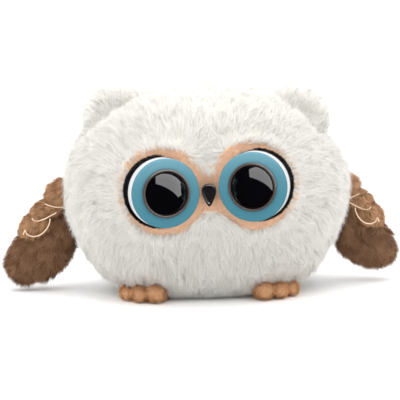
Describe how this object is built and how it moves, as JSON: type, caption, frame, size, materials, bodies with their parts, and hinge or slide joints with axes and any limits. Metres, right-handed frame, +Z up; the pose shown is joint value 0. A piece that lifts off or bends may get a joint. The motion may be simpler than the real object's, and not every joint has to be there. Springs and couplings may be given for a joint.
{
  "type": "interactive plush pet",
  "caption": "Squat plush owl with long white pile, drum eyes with gloss domes, flapping padded wings and toed feet over a hidden shell with a wing drive.",
  "frame": {"origin": "middle of the underside of the base, on the surface the pet stands on", "axes": "+Z up, the pet faces -Y, +X towards its left wing"},
  "size_m": [0.2682, 0.1641, 0.1386],
  "materials": {
    "pile_fabric": "long soft pile",
    "wadding": "loose fibre",
    "mask_fabric": "short pile",
    "wing_fabric": "combed pile",
    "foot_fabric": "velvety",
    "black_gloss": "high gloss",
    "lash_black": "textured",
    "drum_white": "satin",
    "iris_blue": "satin",
    "bezel_grey": "satin",
    "shell_plastic": "matt",
    "base_plastic": "matt",
    "gear_plastic": "matt",
    "board": "lacquered",
    "cell_wrap": "printed wrap, plain",
    "cone_paper": "pressed paper",
    "steel": "zinc plated"
  },
  "bodies": {
    "body": {"base_plate": "base_plastic", "battery_1": "cell_wrap", "battery_2": "cell_wrap", "battery_3": "cell_wrap", "battery_door": "base_plastic", "beak": "black_gloss", "beak_washer": "steel", "body_pelt": "pile_fabric", "chassis": "base_plastic", "door_screw": "steel", "eye_frame": "shell_plastic", "face_mask": "mask_fabric", "front_housing": "shell_plastic", "gear_axle": "steel", "left_bezel": "bezel_grey", "left_contact": "steel", "left_ear": "pile_fabric", "left_eye_drum": "drum_white", "left_foot": "foot_fabric", "left_iris": "iris_blue", "left_lash_sleeve": "lash_black", "left_light_board": "board", "left_pupil_dome": "black_gloss", "left_shoulder_pin": "steel", "main_board": "board", "rear_housing": "shell_plastic", "right_bezel": "bezel_grey", "right_contact": "steel", "right_ear": "pile_fabric", "right_eye_drum": "drum_white", "right_foot": "foot_fabric", "right_iris": "iris_blue", "right_lash_sleeve": "lash_black", "right_light_board": "board", "right_pupil_dome": "black_gloss", "right_shoulder_pin": "steel", "shell_screw_1": "steel", "shell_screw_2": "steel", "shell_screw_3": "steel", "shell_screw_4": "steel", "speaker_cone": "cone_paper", "speaker_frame": "steel", "stuffing": "wadding", "switch_body": "base_plastic", "wing_motor": "steel"},
    "right_wing": {"right_wing_arm": "shell_plastic", "right_wing_pad": "wing_fabric", "right_fold_upper": "wing_fabric", "right_fold_middle": "wing_fabric", "right_fold_lower": "wing_fabric"},
    "left_wing": {"left_wing_arm": "shell_plastic", "left_wing_pad": "wing_fabric", "left_fold_upper": "wing_fabric", "left_fold_middle": "wing_fabric", "left_fold_lower": "wing_fabric"},
    "lifter": {"lifter": "gear_plastic"},
    "compound": {"compound_gear": "gear_plastic"},
    "pinion": {"motor_pinion": "gear_plastic"},
    "switch": {"switch_knob": "lash_black"},
    "crown": {"crown_button": "shell_plastic"}
  },
  "joints": [
    {"name": "right_wing_flap", "type": "hinge", "parent": "body", "child": "right_wing", "pos_m": [-0.068, 0.012, 0.075], "axis": [0, 1, 0], "range_deg": [0, 30]},
    {"name": "left_wing_flap", "type": "hinge", "parent": "body", "child": "left_wing", "pos_m": [0.068, 0.012, 0.075], "axis": [0, -1, 0], "range_deg": [0, 30]},
    {"name": "lifter_slide", "type": "slide", "parent": "body", "child": "lifter", "axis": [0, 0, -1], "range_m": [0, 0.0042]},
    {"name": "compound_spin", "type": "hinge", "parent": "body", "child": "compound", "pos_m": [0.01, 0.0093, 0.06], "axis": [0, -1, 0], "range_deg": [0, 48.2]},
    {"name": "pinion_spin", "type": "hinge", "parent": "body", "child": "pinion", "pos_m": [0.0285, 0.006, 0.06], "axis": [0, 1, 0], "range_deg": [0, 149.6]},
    {"name": "switch_slide", "type": "slide", "parent": "body", "child": "switch", "axis": [1, 0, 0], "range_m": [0, 0.004]},
    {"name": "crown_press", "type": "slide", "parent": "body", "child": "crown", "axis": [0, 0, -1], "range_m": [0, 0.0015], "stiffness_N_per_m": 200}
  ],
  "couplings": [
    {"joint": "left_wing_flap", "follows": "right_wing_flap", "ratio": 1},
    {"joint": "lifter_slide", "follows": "right_wing_flap", "m_per_rad": 0.008},
    {"joint": "compound_spin", "follows": "right_wing_flap", "ratio": 1.6},
    {"joint": "pinion_spin", "follows": "right_wing_flap", "ratio": 4.9778}
  ]
}
